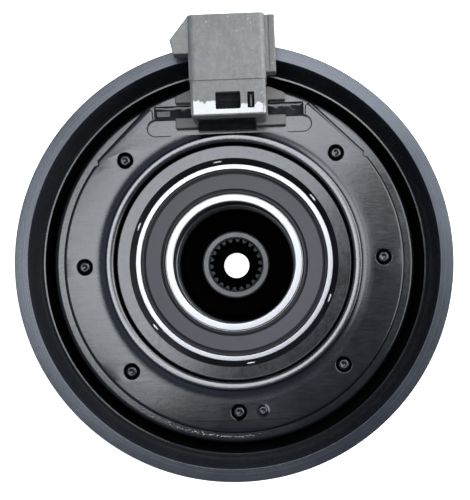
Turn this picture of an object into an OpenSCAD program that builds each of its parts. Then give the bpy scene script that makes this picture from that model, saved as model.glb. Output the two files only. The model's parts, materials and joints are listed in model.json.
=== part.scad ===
// Electromagnetic clutch of an air-conditioning compressor: a belt pulley on a sealed
// double-row bearing, a field coil that sits inside the pulley, and an armature plate on
// leaf springs that the coil pulls against the pulley's rotor.
// Millimetres. The axis of rotation is Z. The origin is the centre of the bearing bore.
// +Z points to the compressor (rear), -Z to the armature (front), +Y to the connector.

/* [Bearing] */
// Diameter of the bearing bore, which seats on the compressor nose
bearing_bore = 40; // [39:0.5:40.5]
// Outside diameter of the bearing
bearing_od = 66; // [65.5:0.5:66.5]
// Width of the bearing
bearing_w = 24; // [24:0.5:25]
// Number of balls in each of the two rows
balls_per_row = 18; // [12:1:18]

/* [Pulley] */
// Diameter over the pulley's two rims
pulley_od = 144; // [144:1:150]
// Number of V grooves for the belt
groove_count = 7; // [4:1:7]
// Overall width of the pulley
pulley_w = 37; // [36:0.5:39]
// Number of stakes that lock the bearing in the rotor
stake_count = 6; // [3:1:8]

/* [Field coil] */
// Outside diameter of the coil's steel shell
coil_od = 119.6; // [118:0.2:120]
// Thickness of the mounting plate
plate_t = 1.8; // [1.5:0.1:2]
// Inside diameter of the collar that presses on the compressor housing
collar_bore = 79.4; // [79:0.1:80]
// Diameter of the circle that the plate's rivets lie on
rivet_circle = 99.2; // [97:0.2:101]

/* [Hub and armature] */
// Air gap between the armature plate and the rotor when the coil is off
air_gap = 0.5; // [0.35:0.05:0.65]
// Outside diameter of the armature plate
armature_od = 122; // [118:1:124]
// Number of teeth of the hub's spline
spline_teeth = 22; // [18:1:24]
// Diameter of the clearance hole for the hub bolt
bolt_hole = 9; // [8.4:0.1:9]

/* [Connector] */
// Width of the connector housing
housing_w = 24.1; // [23.5:0.1:24.5]
// Distance from the axis to the mouth of the connector
housing_reach = 78.4; // [78:0.1:80]

/* [Hidden] */
$fn = 96;
eps = 0.01;
slip = 0.02;             // gap between pieces that are pressed or bonded together

// Heights of the main planes along the axis
bearing_z = bearing_w / 2;
web_t = 5.5;
friction_z = -bearing_z - web_t;
hub_rear_z = bearing_z + 1.2;
shell_rear_z = bearing_z + 1;
shell_front_z = -bearing_z + 1;
plate_z = shell_rear_z + plate_t;
rim_front_z = friction_z + 1;
rim_rear_z = rim_front_z + pulley_w;
rotor_rear_z = 8;
rotor_pole_z = -3;
armature_rear_z = friction_z - air_gap;
armature_t = 4;
armature_front_z = armature_rear_z - armature_t;

// Radii of the bearing
bore_r = bearing_bore / 2;
bearing_r = bearing_od / 2;
ball_r = 3.572;
ball_row_z = 5;
pitch_r = (bore_r + bearing_r) / 2;
race_play = 0.05;
ring_face_in = bore_r + 2.65;
ring_face_out = bearing_r - 1.8;
inner_land = pitch_r - 1.9;
outer_land = pitch_r + 1.9;
ring_chamfer = 0.3;

// Radii of the rotor and the coil
rotor_hub_r = 39;
rotor_out_r = 64.2;
rotor_in_r = coil_od / 2 + 0.6;
shell_r = coil_od / 2;
shell_wall = 3;
shell_bore_r = collar_bore / 2 + 0.5;
shell_inner_wall = 2.6;
shell_bend = 1.6;
shell_inner_bend = 1.5;
winding_in = shell_bore_r + shell_inner_wall + 1.9;
winding_out = shell_r - shell_wall - 1.6;
bobbin_in = winding_in - 1.4;
bobbin_wall = 1.3;
bobbin_rear_z = shell_rear_z - shell_wall - 0.5;
stake_angle = 37.5;
stake_size = [1, 3.6, 0.95];  // radially, along the ring, and up

// Belt grooves of the standard 3.56 mm pitch
groove_pitch = 3.56;
groove_depth = 2.9;
groove_angle = 20;
crest_flat = 0.75;
rim_face = 4.3;

// Mounting plate
plate_r = 56.5;
chord_distance = 56.9;
chord_angle = 44;
collar_wall = 2.4;
collar_h = 3.6;
collar_fillet = 3;
notch_half = 27.3;
notch_bottom = 42.8;
slot_half = 25;
slot_low = 48;
slot_high = 52.9;
tongue_x = [-24.3, -19.5];   // end of the bobbin's flange that shows in the slot
rivet_angles = [for (i = [0:7]) if (i != 2) i * 45];
rivet_r = 1.5;
pip_angle = 279.1;
pip_r = 1.6;
pip_h = 0.9;

// Connector tower, whose centre line is a little to one side of the slot's
tower_x = 0.6;
tower_low = 46;
tower_step = 57.2;
tower_top_z = 38;
shroud_z = 22.5;
shroud_lip = 0.3;
wing_half = 18.3;
wing_low = 44.9;
wing_high = 57.8;
wing_z = 16.6;
rail_w = 3.5;
rail_z = [28, 35.5];
ramp_w = 6.15;
ramp_l = 12;
ramp_z = [29.5, 37.5];
socket_half = 9.6;
socket_floor_y = 62;
socket_z = [24.6, 36.2];
chamber_half = 8;
chamber_top_z = 24;
window_x = [-4.1, 3.9];
window_y = [48, 53.5];
window_floor_z = 32;
diode_x = 7.2;
diode_pocket_y = [48.1, 53.2];
diode_pocket_z = 33;
diode_r = 0.95;
blade_x = 4.6;
blade_z = 30.3;
blade_w = 2.8;
blade_t = 0.8;
blade_tip = 75.5;
leg_y = 55;
leg_foot_z = 19;
lead_top_z = 20;
lead_r = 0.45;

// Hub, springs and armature
sleeve_r = 11.7;
sleeve_rear_z = -bearing_z - 0.2;
hub_front_z = armature_front_z - 6.5;
bolt_recess = 3;
hub_end_wall = 4;
spring_t = 0.75;
flange_rear_z = armature_front_z - 0.8;
flange_t = 3;
flange_front_z = flange_rear_z - flange_t;
hub_seat_r = 14;
spline_root = 9.2;
spline_tip = 7.9;
spring_circle = 41;
spring_start = 90;
spring_span = 50;
bumper_circle = 34;
bumper_offset = 85;
hub_rivet_r = 2.45;

// Points of an arc about c, from angle a0 to a1
function arc(c, r, a0, a1, n = 8) =
    [for (i = [0:n]) let (a = a0 + (a1 - a0) * i / n) c + r * [cos(a), sin(a)]];

// The same shape at count places round the axis, radius r out
module around(count, r, start = 0) {
    for (i = [0:count - 1]) rotate(start + i * 360 / count) translate([r, 0, 0]) children();
}

// A ring from z0 to z1
module ring(r_in, r_out, z0, z1) {
    rotate_extrude() translate([r_in, z0]) square([r_out - r_in, z1 - z0]);
}

// A rectangle whose corners are arcs of radius r
module rounded_rect(low, high, r) {
    w = high.x - low.x;
    h = high.y - low.y;
    translate([low.x + r, low.y]) square([w - 2 * r, h]);
    translate([low.x, low.y + r]) square([w, h - 2 * r]);
    for (x = [low.x + r, high.x - r], y = [low.y + r, high.y - r]) translate([x, y]) circle(r);
}

// A box between two corners
module block(low, high) {
    translate(low) cube(high - low);
}

// A curved slot of width w round the axis, with round ends
module arc_slot(r, w, span, z0, z1) {
    rotate(-span / 2) {
        rotate_extrude(angle = span) translate([r - w / 2, z0]) square([w, z1 - z0]);
        for (a = [0, span]) rotate(a) translate([r, 0, z0]) cylinder(r = w / 2 + 0.06, h = z1 - z0);
    }
}

// ---- field coil ----

module coil_shell() {
    color("#17181a") difference() {
        rotate_extrude() polygon(concat(
            [[shell_r, shell_front_z]],
            arc([shell_r - shell_bend, shell_rear_z - shell_bend], shell_bend, 0, 90),
            arc([shell_bore_r + shell_inner_bend, shell_rear_z - shell_inner_bend], shell_inner_bend, 90, 180, 5),
            [
                [shell_bore_r, shell_front_z],
                [shell_bore_r + shell_inner_wall, shell_front_z],
                [shell_bore_r + shell_inner_wall, shell_rear_z - shell_wall],
                [shell_r - shell_wall, shell_rear_z - shell_wall],
                [shell_r - shell_wall, shell_front_z]
            ]
        ));
        block([-slot_half, slot_low, shell_rear_z - 4], [slot_half, slot_high, shell_rear_z + 1]);
        for (a = rivet_angles) rotate(a) translate([rivet_circle / 2, 0, shell_rear_z - 4])
            cylinder(r = rivet_r + slip, h = 6);
    }
}

// Outline of the mounting plate: a disc with a flat-sided head for the connector
module plate_outline() {
    circle(plate_r);
    intersection() {
        rotate(90 - chord_angle) translate([0, -100]) square([chord_distance, 200]);
        rotate(90 + chord_angle) translate([0, -100]) square([chord_distance, 200]);
        polygon([[0, 0], 80 * [cos(37), sin(37)], [0, 100], 80 * [-cos(37), sin(37)]]);
        translate([-60, 0]) square([120, slot_high]);
        circle(shell_r - 0.3);
    }
}

module mounting_plate() {
    color("#1b1c1f") difference() {
        union() {
            difference() {
                translate([0, 0, shell_rear_z + slip]) linear_extrude(plate_t - slip) plate_outline();
                translate([0, 0, shell_rear_z - 1]) cylinder(r = collar_bore / 2 + 1, h = 6);
            }
            rotate_extrude() collar_profile();
            rotate(pip_angle) translate([rivet_circle / 2 + 0.3, 0, shell_rear_z + 1]) {
                cylinder(r = pip_r, h = plate_t - 1 + pip_h);
                translate([0, 0, plate_t - 1 + pip_h]) cylinder(r1 = pip_r, r2 = pip_r - 0.3, h = 0.3);
            }
        }
        plate_notch();
        for (a = rivet_angles) rotate(a) translate([rivet_circle / 2, 0, 0]) {
            translate([0, 0, shell_rear_z - 1]) cylinder(r = rivet_r + slip, h = 6);
            translate([0, 0, plate_z - 1]) cylinder(r1 = 2.2, r2 = 2.6, h = 1 + eps);
        }
    }
}

// The opening that the connector tower stands in
module plate_notch() {
    end_r = (slot_low - notch_bottom) / 2;
    translate([0, 0, shell_rear_z - 1]) linear_extrude(8) {
        rounded_rect([-notch_half, notch_bottom], [notch_half, slot_low + 0.1], end_r);
        translate([-slot_half, slot_low - 2]) square([2 * slot_half, 20]);
    }
}

// Half section of the collar, drawn up from the sheet: its top slopes down to the bore,
// and a fillet joins it to the plate
module collar_profile() {
    r = collar_bore / 2;
    out = r + collar_wall;
    front = shell_rear_z + slip;
    top = plate_z + collar_h;
    edge = 0.3;
    polygon(concat(
        [[r, front + 0.4], [r + 0.4, front], [out + collar_fillet, front]],
        arc([out + collar_fillet, plate_z + collar_fillet], collar_fillet, 270, 190, 6),
        [[out, top - edge], [out - edge, top], [out - 3 * edge, top], [r + edge, top - edge], [r, top - 2 * edge]]
    ));
}

module plate_rivets() {
    color("#2b2c2f") for (a = rivet_angles) rotate(a) translate([rivet_circle / 2, 0, 0]) difference() {
        union() {
            translate([0, 0, shell_rear_z - shell_wall]) cylinder(r = rivet_r, h = shell_wall + plate_t - 0.4);
            translate([0, 0, plate_z - 0.4]) cylinder(r1 = rivet_r, r2 = rivet_r - 0.2, h = 0.2);
        }
        translate([0, 0, plate_z - 0.6]) cylinder(r = 0.45, h = 1);
    }
}

module coil_bobbin() {
    front_z = shell_front_z + 1.5;
    neck = housing_w / 2 - 0.5;
    color("#6f6e66") difference() {
        union() {
            rotate_extrude() {
                translate([bobbin_in, front_z]) square([bobbin_wall, bobbin_rear_z - front_z]);
                for (z = [front_z, bobbin_rear_z - 1.5])
                    translate([bobbin_in, z]) square([winding_out + 1 - bobbin_in, 1.5]);
            }
            block(
                [tongue_x[0], slot_low + 1.2, bobbin_rear_z - 1],
                [tongue_x[1], slot_high - 1.4, shell_rear_z - 0.6]
            );
            translate([tower_x, 0, 0]) {
                block([-neck, slot_low + 0.3, bobbin_rear_z - 1], [neck, slot_high - 0.3, wing_z - 0.5]);
                translate([0, 0, shell_rear_z + slip]) linear_extrude(wing_z - shell_rear_z - slip) wing_outline();
            }
        }
        for (s = [-1, 1]) translate([tower_x + s * blade_x, (slot_low + slot_high) / 2, bobbin_rear_z - 3])
            cylinder(r = 0.6, h = 12);
    }
}

// The bobbin's foot on the shell: a plate with a notch in each side
module wing_outline() {
    cut = [5.2, 2.6];
    notch_x = housing_w / 2 + 0.4;
    difference() {
        polygon([
            [-wing_half, wing_low], [wing_half, wing_low], [wing_half, wing_high - cut.y],
            [wing_half - cut.x, wing_high], [-wing_half + cut.x, wing_high], [-wing_half, wing_high - cut.y]
        ]);
        for (s = [-1, 1]) translate([s * (notch_x + 5), slot_low + 2.9]) square([10, 5], center = true);
    }
}

module coil_winding() {
    color("#b0612c") ring(winding_in, winding_out, shell_front_z + 3.1, shell_rear_z - shell_wall - 2.1);
}

module coil_leads() {
    low = shell_rear_z - shell_wall - 2;
    y = (slot_low + slot_high) / 2;
    reach = leg_y - 0.05 - y + lead_r;
    color("#b0612c") for (s = [-1, 1]) translate([tower_x + s * blade_x, y, 0]) {
        translate([0, 0, low]) cylinder(r = lead_r, h = lead_top_z - low, $fn = 24);
        translate([0, -lead_r, lead_top_z]) rotate([-90, 0, 0]) cylinder(r = lead_r, h = reach, $fn = 24);
    }
}

// Resin in the coil's open front, in the slot on each side of the bobbin's neck, and in the window
module potting_resin() {
    neck = housing_w / 2 - 0.5 + slip;
    ring_in = shell_bore_r + shell_inner_wall + slip;
    color("#0b0b0c") {
        ring(ring_in, shell_r - shell_wall - slip, shell_front_z + 0.3, shell_front_z + 1.5 - slip);
        for (x = [[tower_x + neck, slot_half - slip], [tongue_x[1] + slip, tower_x - neck]])
            block([x[0], slot_low + slip, bobbin_rear_z + slip], [x[1], slot_high - slip, shell_rear_z - 0.4]);
        translate([tower_x, 0, 0]) difference() {
            block(
                [window_x[0] + slip, window_y[0] + slip, window_floor_z + slip],
                [window_x[1] - slip, window_y[1] - slip, window_floor_z + 4]
            );
            translate([0, 55.2, 41.5]) rotate([0, 90, 0]) cylinder(r = 6, h = 20, center = true);
        }
    }
}

module connector_housing() {
    half = housing_w / 2;
    color("#8f908c") translate([tower_x, 0, 0]) difference() {
        union() {
            tower(half);
            translate([0, housing_reach, 0]) rotate([90, 0, 0]) linear_extrude(housing_reach - tower_step)
                rounded_rect([-half - shroud_lip, shroud_z], [half + shroud_lip, tower_top_z + 0.5], 2.4);
            block([half - 1, tower_step + 2.4, rail_z[0]], [half + rail_w, housing_reach - 0.1, rail_z[1]]);
            lock_ramp(half);
        }
        block([-socket_half, socket_floor_y, socket_z[0]], [socket_half, housing_reach + 1, socket_z[1]]);
        block([-chamber_half, window_y[0], wing_z - 1], [chamber_half, leg_y + 1.45, chamber_top_z]);
        block([window_x[0], window_y[0], window_floor_z], [window_x[1], window_y[1], tower_top_z + 1]);
        block(
            [diode_x - 1.15, diode_pocket_y[0], diode_pocket_z],
            [diode_x + 1.15, diode_pocket_y[1], tower_top_z + 1]
        );
        for (s = [-1, 1]) translate([s * blade_x, 0, 0]) blade_slots();
    }
}

// The tower's block, rounded on top
module tower(half) {
    intersection() {
        translate([-half, 0, 0]) rotate([90, 0, 90]) linear_extrude(2 * half) polygon(concat(
            [[tower_low, wing_z + slip], [tower_step + 1, wing_z + slip], [tower_step + 1, tower_top_z]],
            arc([52.5, tower_top_z - 14], 14, 90, 112, 6),
            [[tower_low, tower_top_z - 2.2]]
        ));
        translate([0, tower_step + 10, 0]) rotate([90, 0, 0]) linear_extrude(30)
            rounded_rect([-half, 0], [half, tower_top_z], 2.4);
    }
}

// The two slots that a terminal's blade and leg are pushed into
module blade_slots() {
    x = blade_w / 2 + slip;
    z = blade_t / 2 + slip;
    block([-x, leg_y - 0.05, blade_z - z], [x, socket_floor_y + 1, blade_z + z]);
    block([-x, leg_y - 0.05, chamber_top_z - 1], [x, leg_y + 0.85, blade_z]);
}

// The wedge that the harness plug's latch snaps over
module lock_ramp(half) {
    end_y = housing_reach - 0.3;
    translate([0, 0, ramp_z[0]]) linear_extrude(ramp_z[1] - ramp_z[0]) polygon([
        [-half + 1, end_y], [-half - shroud_lip, end_y], [-half - ramp_w, end_y - 7.4],
        [-half - ramp_w + 1, end_y - ramp_l + 0.1], [-half + 1, end_y - ramp_l]
    ]);
}

// A male blade with a leg that goes down to the coil's lead
module terminal(side) {
    tip_taper = 13;
    color("#c9b37a") translate([tower_x + side * blade_x, 0, 0]) difference() {
        union() {
            block([-blade_w / 2, leg_y, blade_z - blade_t / 2], [blade_w / 2, blade_tip, blade_z + blade_t / 2]);
            block([-blade_w / 2, leg_y, leg_foot_z], [blade_w / 2, leg_y + blade_t, blade_z]);
        }
        for (s = [-1, 1]) translate([0, blade_tip - 1.2, blade_z + s * blade_t / 2]) rotate([-s * tip_taper, 0, 0])
            block([-2, 0, s > 0 ? 0 : -2], [2, 3, s > 0 ? 2 : 0]);
    }
}

module suppression_diode() {
    y = (diode_pocket_y[0] + diode_pocket_y[1]) / 2;
    color("#1c1c20") translate([tower_x + diode_x, y, diode_pocket_z + diode_r + 0.65]) rotate([90, 0, 0]) {
        cylinder(r = diode_r, h = 3.4, center = true, $fn = 32);
        cylinder(r = 0.3, h = 4.9, center = true, $fn = 16);
    }
}

// ---- bearing ----

module bearing_inner_ring() {
    c = ring_chamfer;
    step_z = bearing_z - 2.3;
    color("#c4c6c8") rotate_extrude() difference() {
        polygon([
            [bore_r, -bearing_z + c], [bore_r + c, -bearing_z], [ring_face_in, -bearing_z],
            [ring_face_in, -step_z], [inner_land, -step_z], [inner_land, step_z],
            [ring_face_in, step_z], [ring_face_in, bearing_z], [bore_r + c, bearing_z], [bore_r, bearing_z - c]
        ]);
        for (z = [-ball_row_z, ball_row_z]) translate([pitch_r, z]) circle(ball_r + race_play);
    }
}

module bearing_outer_ring() {
    c = ring_chamfer;
    step_z = bearing_z - 2.3;
    color("#c4c6c8") rotate_extrude() difference() {
        polygon([
            [bearing_r - c, -bearing_z], [bearing_r, -bearing_z + c], [bearing_r, bearing_z - c],
            [bearing_r - c, bearing_z], [ring_face_out, bearing_z], [ring_face_out, step_z],
            [outer_land, step_z], [outer_land, -step_z], [ring_face_out, -step_z], [ring_face_out, -bearing_z]
        ]);
        for (z = [-ball_row_z, ball_row_z]) translate([pitch_r, z]) circle(ball_r + race_play);
    }
}

// A contact seal: a flat shield with a bead in the outer ring and a lip at the inner ring
module seal(side) {
    in = ring_face_in + 0.35;
    out = ring_face_out - slip;
    color("#3b3c3f") mirror([0, 0, side > 0 ? 0 : 1]) rotate_extrude() polygon([
        [in, bearing_z - 1.9], [in + 1.2, bearing_z - 2.1], [out, bearing_z - 2.1], [out, bearing_z - 0.6],
        [out - 1.2, bearing_z - 0.6], [out - 1.6, bearing_z - 0.35], [in + 2, bearing_z - 0.35],
        [in + 1.6, bearing_z - 0.7], [in, bearing_z - 0.7]
    ]);
}

module balls(side) {
    color("#d8dadc") around(balls_per_row, pitch_r) translate([0, 0, side * ball_row_z]) sphere(ball_r);
}

// A crown cage with a round pocket for each ball
module cage(side) {
    color("#3f4a3a") difference() {
        mirror([0, 0, side > 0 ? 0 : 1]) ring(pitch_r - 1.2, pitch_r + 1.2, ball_row_z - 1.6, bearing_z - 2.4);
        around(balls_per_row, pitch_r) translate([0, 0, side * ball_row_z]) sphere(ball_r + 0.1);
    }
}

// ---- pulley ----

module rotor_body() {
    color("#1d1e20") difference() {
        union() {
            rotate_extrude() polygon([
                [bearing_r - 3, friction_z], [rotor_out_r, friction_z], [rotor_out_r, rotor_rear_z],
                [rotor_out_r - 0.5, rotor_rear_z], [rotor_in_r, rotor_pole_z],
                [rotor_in_r, -bearing_z + 1], [rotor_in_r - 1, -bearing_z],
                [rotor_hub_r + 1, -bearing_z], [rotor_hub_r, -bearing_z + 1], [rotor_hub_r, hub_rear_z - 0.2],
                [rotor_hub_r - 0.2, hub_rear_z], [bearing_r + 1.8, hub_rear_z], [bearing_r + slip, bearing_z],
                [bearing_r + slip, -bearing_z - slip], [bearing_r - 3, -bearing_z - slip]
            ]);
            around(stake_count, bearing_r + 0.35, stake_angle) translate([0, -stake_size.y / 2, bearing_z + slip])
                cube(stake_size);
        }
        for (i = [0:5]) {
            rotate(i * 60) arc_slot(46, 2.4, 44, friction_z - 1, -bearing_z + 1);
            rotate(i * 60 + 30) arc_slot(54.6, 2.4, 46, friction_z - 1, -bearing_z + 1);
        }
    }
}

module belt_pulley() {
    rim = pulley_od / 2;
    crest = rim - 0.6;
    run = groove_depth * tan(groove_angle);
    first = rim_front_z + 3.6;
    last = first + groove_count * groove_pitch;
    inner = rotor_out_r + slip;
    color("#202124") rotate_extrude() polygon(concat(
        [[inner, rim_front_z + 1], [inner + 1, rim_front_z], [rim - 0.8, rim_front_z]],
        [[rim, rim_front_z + 0.8], [rim, first - 0.4]],
        [for (i = [0:groove_count - 1]) let (z = first + i * groove_pitch) each [
            [crest, z + crest_flat / 2], [crest - groove_depth, z + crest_flat / 2 + run],
            [crest - groove_depth, z + groove_pitch - crest_flat / 2 - run],
            [crest, z + groove_pitch - crest_flat / 2]
        ]],
        [
            [rim, last + 0.4], [rim, rim_rear_z - 0.5], [rim - 0.5, rim_rear_z],
            [rim - rim_face, rim_rear_z], [inner + 0.6, rotor_rear_z + 0.6], [inner, rotor_rear_z]
        ]
    ));
}

// ---- hub and armature ----

module splined_hub() {
    color("#2a2b2d") difference() {
        union() {
            translate([0, 0, flange_rear_z]) cylinder(r = sleeve_r, h = sleeve_rear_z - 0.5 - flange_rear_z);
            translate([0, 0, sleeve_rear_z - 0.5]) cylinder(r1 = sleeve_r, r2 = sleeve_r - 0.5, h = 0.5);
            ring(0, 18, flange_rear_z, flange_rear_z + 2.8);
            translate([0, 0, hub_front_z + 1]) cylinder(r = hub_seat_r, h = flange_rear_z - hub_front_z);
            translate([0, 0, hub_front_z]) cylinder(r1 = 15.8, r2 = 16.4, h = 0.6);
            translate([0, 0, hub_front_z + 0.6]) cylinder(r = 16.4, h = flange_front_z - slip - hub_front_z - 0.6);
        }
        translate([0, 0, hub_front_z + bolt_recess + hub_end_wall]) linear_extrude(20) spline_outline();
        translate([0, 0, sleeve_rear_z - 1]) cylinder(r1 = spline_root - 0.35, r2 = spline_root + 0.5, h = 1 + eps);
        translate([0, 0, hub_front_z - 1]) cylinder(d = bolt_hole, h = 10);
        translate([0, 0, hub_front_z - 1]) cylinder(r = 8.5, h = bolt_recess + 1);
    }
}

// The internal spline: flat teeth between the tip and root circles
module spline_outline() {
    p = 360 / spline_teeth;
    polygon([for (i = [0:spline_teeth - 1]) each [
        for (t = [[spline_tip, 0.04], [spline_tip, 0.3], [spline_root, 0.56], [spline_root, 0.78]])
            t[0] * [cos((i + t[1]) * p), sin((i + t[1]) * p)]
    ]]);
}

module hub_flange() {
    arm_half = 9;
    color("#26272a") difference() {
        translate([0, 0, flange_front_z]) linear_extrude(flange_t) difference() {
            union() {
                circle(39);
                for (a = [0, 120, 240]) rotate(spring_start + a) {
                    translate([spring_circle, 0]) circle(arm_half);
                    translate([20, -arm_half]) square([spring_circle - 20, 2 * arm_half]);
                }
            }
            for (a = [0, 120, 240]) rotate(spring_start + spring_span + a) translate([spring_circle, 0]) circle(7);
        }
        translate([0, 0, flange_front_z - 1]) cylinder(r = hub_seat_r + slip, h = 6);
        for (hole = [[spring_circle, spring_start], [bumper_circle, spring_start + bumper_offset]])
            around(3, hole[0], hole[1]) translate([0, 0, flange_front_z - 1]) cylinder(r = hub_rivet_r + slip, h = 6);
    }
}

// A flat strip from a hub rivet to an armature rivet
module leaf_spring(i) {
    a0 = spring_start + 120 * i;
    ends = [for (a = [a0, a0 + spring_span]) spring_circle * [cos(a), sin(a)]];
    length = norm(ends[1] - ends[0]);
    tilt = atan2(ends[1].y - ends[0].y, ends[1].x - ends[0].x);
    z = armature_front_z - spring_t - slip;
    color("#8d9196") translate([ends[0].x, ends[0].y, z]) rotate(tilt) difference() {
        linear_extrude(spring_t) {
            translate([0, -5]) square([length, 10]);
            for (x = [0, length]) translate([x, 0]) circle(5.8);
        }
        for (x = [0, length]) translate([x, 0, -1]) cylinder(r = hub_rivet_r + slip, h = 3);
    }
}

module hub_rivets() {
    color("#6a6d70") around(3, spring_circle, spring_start) {
        translate([0, 0, flange_front_z - slip])
            cylinder(r = hub_rivet_r, h = armature_front_z - flange_front_z + 2 * slip);
        translate([0, 0, flange_front_z - 1.4]) cylinder(r1 = 3.4, r2 = 4.2, h = 0.8);
        translate([0, 0, flange_front_z - 0.6 - slip]) cylinder(r = 4.2, h = 0.6);
        translate([0, 0, armature_front_z + slip]) cylinder(r = 4, h = 1);
    }
}

module stop_bumpers() {
    color("#101011") around(3, bumper_circle, spring_start + bumper_offset) {
        translate([0, 0, flange_rear_z + slip]) cylinder(r = 4.5, h = 0.8 - 2 * slip);
        translate([0, 0, flange_front_z - 1]) cylinder(r = hub_rivet_r, h = flange_t + 1.5);
        translate([0, 0, flange_front_z - 1.2]) cylinder(r1 = 3.2, r2 = 3.8, h = 0.6);
        translate([0, 0, flange_front_z - 0.6 - slip]) cylinder(r = 3.8, h = 0.6);
    }
}

module armature_plate() {
    h = armature_t + 2;
    r = armature_od / 2;
    color("#3a3c3f") difference() {
        rotate_extrude() polygon([
            [28, armature_front_z], [r - 0.5, armature_front_z], [r, armature_front_z + 0.5],
            [r, armature_rear_z - 0.4], [r - 0.4, armature_rear_z], [28, armature_rear_z]
        ]);
        for (i = [0:5]) rotate(i * 60) arc_slot(50.4, 2.4, 44, armature_front_z - 1, armature_rear_z + 1);
        around(3, spring_circle, spring_start) translate([0, 0, armature_front_z - 1]) cylinder(r = 6.2, h = h);
        around(3, spring_circle, spring_start + spring_span) {
            translate([0, 0, armature_front_z - 1]) cylinder(r = hub_rivet_r + slip, h = h);
            translate([0, 0, armature_rear_z - 1.6]) cylinder(r1 = hub_rivet_r + slip, r2 = 4.1, h = 1.6 + eps);
        }
    }
}

module armature_rivets() {
    front = armature_front_z - spring_t - 2 * slip;
    color("#6a6d70") around(3, spring_circle, spring_start + spring_span) {
        translate([0, 0, front]) cylinder(r = hub_rivet_r, h = armature_rear_z - 0.3 - front);
        translate([0, 0, front - 1.3]) cylinder(r1 = 3.4, r2 = 4.2, h = 0.7);
        translate([0, 0, front - 0.6]) cylinder(r = 4.2, h = 0.6);
        translate([0, 0, armature_rear_z - 1.55]) cylinder(r1 = hub_rivet_r, r2 = 3.7, h = 1.25);
    }
}

coil_shell();
mounting_plate();
plate_rivets();
coil_bobbin();
coil_winding();
coil_leads();
potting_resin();
connector_housing();
terminal(-1);  // terminal_left
terminal(1);  // terminal_right
suppression_diode();
bearing_inner_ring();
bearing_outer_ring();
seal(1);  // rear_seal
seal(-1);  // front_seal
balls(1);  // rear_balls
cage(1);  // rear_cage
balls(-1);  // front_balls
cage(-1);  // front_cage
rotor_body();
belt_pulley();
splined_hub();
hub_flange();
leaf_spring(0);  // leaf_spring_1
leaf_spring(1);  // leaf_spring_2
leaf_spring(2);  // leaf_spring_3
hub_rivets();
stop_bumpers();
armature_plate();
armature_rivets();
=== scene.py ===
"""The looks of the electromagnetic clutch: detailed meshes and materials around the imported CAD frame."""

import math
import random

import bmesh
import bpy
from mathutils import Matrix, Vector
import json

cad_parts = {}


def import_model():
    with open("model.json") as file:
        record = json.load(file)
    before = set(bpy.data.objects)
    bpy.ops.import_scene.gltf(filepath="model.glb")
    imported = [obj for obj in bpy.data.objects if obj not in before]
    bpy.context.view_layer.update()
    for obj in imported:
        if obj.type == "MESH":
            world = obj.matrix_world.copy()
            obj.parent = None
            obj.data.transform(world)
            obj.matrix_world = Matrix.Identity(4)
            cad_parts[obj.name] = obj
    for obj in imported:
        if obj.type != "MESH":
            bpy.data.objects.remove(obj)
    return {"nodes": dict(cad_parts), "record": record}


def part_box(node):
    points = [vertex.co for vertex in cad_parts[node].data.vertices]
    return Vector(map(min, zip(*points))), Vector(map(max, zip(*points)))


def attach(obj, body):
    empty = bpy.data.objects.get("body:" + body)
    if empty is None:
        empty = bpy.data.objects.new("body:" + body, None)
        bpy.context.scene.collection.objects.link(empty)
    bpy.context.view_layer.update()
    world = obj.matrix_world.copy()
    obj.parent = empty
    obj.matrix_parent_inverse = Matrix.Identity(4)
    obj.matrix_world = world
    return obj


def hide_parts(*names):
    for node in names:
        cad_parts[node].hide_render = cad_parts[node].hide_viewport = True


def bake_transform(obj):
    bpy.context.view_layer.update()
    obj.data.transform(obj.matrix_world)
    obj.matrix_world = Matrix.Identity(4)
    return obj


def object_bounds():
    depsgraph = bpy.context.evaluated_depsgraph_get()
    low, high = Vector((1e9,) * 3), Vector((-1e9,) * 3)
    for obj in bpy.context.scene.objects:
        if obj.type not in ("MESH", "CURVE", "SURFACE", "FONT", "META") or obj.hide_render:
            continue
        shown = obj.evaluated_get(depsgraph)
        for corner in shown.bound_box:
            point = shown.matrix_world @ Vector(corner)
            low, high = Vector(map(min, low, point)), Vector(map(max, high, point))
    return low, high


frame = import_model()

MM = 0.001
cad_low, cad_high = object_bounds()

# ---- sizes, in millimetres, read from the frame where it has them ----


def top(node):
    """Highest point of a CAD node."""
    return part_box(node)[1].z / MM


def bottom(node):
    """Lowest point of a CAD node."""
    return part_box(node)[0].z / MM


def reach(node):
    """Largest radius of a CAD node of revolution."""
    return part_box(node)[1].x / MM


BEARING_Z = top("bearing_outer_ring")
BEARING_R = reach("bearing_outer_ring")
BORE_R = 20.0
FACE_IN = 22.65
FACE_OUT = BEARING_R - 1.8
LAND_IN = 24.6
LAND_OUT = 28.4
PITCH_R = (BORE_R + BEARING_R) / 2
ROW_Z = 5.0
GROOVE_R = 3.622
SHELL_Z = top("coil_shell")
SHELL_R = reach("coil_shell")
PLATE_T = 1.8
PLATE_Z = SHELL_Z + PLATE_T
PLATE_R = 56.6
CHORD = 56.6
CHORD_ANGLE = 44.0
COLLAR_R = 39.7
COLLAR_WALL = 2.4
COLLAR_Z = top("mounting_plate")
NOTCH_HALF = 27.3
NOTCH_LOW = 42.8
SLOT_HALF = 25.0
SLOT_LOW = 48.0
SLOT_HIGH = 52.9
RIVET_R = 49.6
RIVET_ANGLES = [0, 45, 135, 180, 225, 270, 315]
PIP_ANGLE = 279.1
RIM_R = reach("belt_pulley")
RIM_REAR = top("belt_pulley")
RIM_FRONT = bottom("belt_pulley")
RIM_FACE = 4.3
ROTOR_R = reach("rotor_body")
ROTOR_REAR = 8.0
HUB_R = 39.0
TOWER_X = 0.6
HOUSING_HALF = 12.05
WINDOW = (-4.1, 3.9)
DIODE_X = 7.2
HOUSING_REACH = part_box("connector_housing")[1].y / MM
HOUSING_Z = 38.0
STEP_Y = 57.2
WING_Z = top("coil_bobbin")
ARMATURE_REAR = top("armature_plate")
ARMATURE_FRONT = bottom("armature_plate")
FLANGE_REAR = top("hub_flange")
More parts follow.
